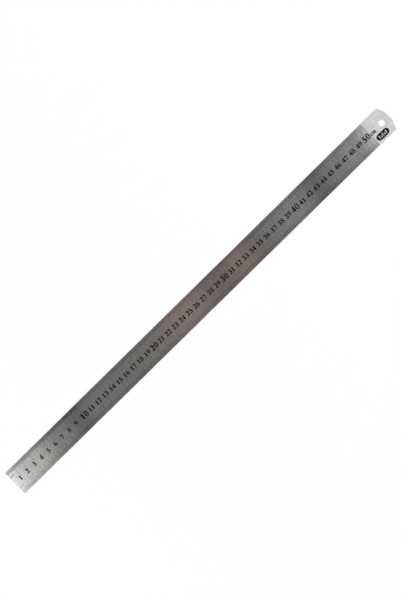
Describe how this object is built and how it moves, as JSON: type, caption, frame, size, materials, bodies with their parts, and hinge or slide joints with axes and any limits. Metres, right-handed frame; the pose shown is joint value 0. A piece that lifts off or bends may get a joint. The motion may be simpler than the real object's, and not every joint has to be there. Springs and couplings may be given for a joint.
{
  "type": "steel ruler",
  "caption": "Half-metre flat steel ruler with etched, enamel-filled centimetre scales on both long edges, central numerals, one arced end and a hang hole.",
  "frame": {"origin": "middle of the square zero end, on the back face that the ruler lies on: x = 0 is the zero of the scale", "axes": "+X along the blade and the scale's reading, +Y across the blade towards the tops of the numerals, +Z out of the graduated face"},
  "size_m": [0.5316, 0.029, 0.001],
  "materials": {
    "steel": "cold-rolled stainless steel, satin, with fine grain along the length",
    "black_enamel": "black enamel wiped into the etched marks, low sheen",
    "label_enamel": "blue-black enamel filling the maker's field"
  },
  "bodies": {
    "root": {"blade": "steel", "top_half_millimetre_marks": "black_enamel", "top_millimetre_marks": "black_enamel", "top_half_centimetre_marks": "black_enamel", "top_centimetre_marks": "black_enamel", "bottom_millimetre_marks": "black_enamel", "bottom_half_centimetre_marks": "black_enamel", "bottom_centimetre_marks": "black_enamel", "scale_end_marks": "black_enamel", "zero_end_marks": "black_enamel", "numerals_1_to_10": "black_enamel", "numerals_11_to_20": "black_enamel", "numerals_21_to_30": "black_enamel", "numerals_31_to_40": "black_enamel", "numerals_41_to_50": "black_enamel", "unit_letters": "black_enamel", "label_field": "label_enamel"}
  },
  "joints": []
}
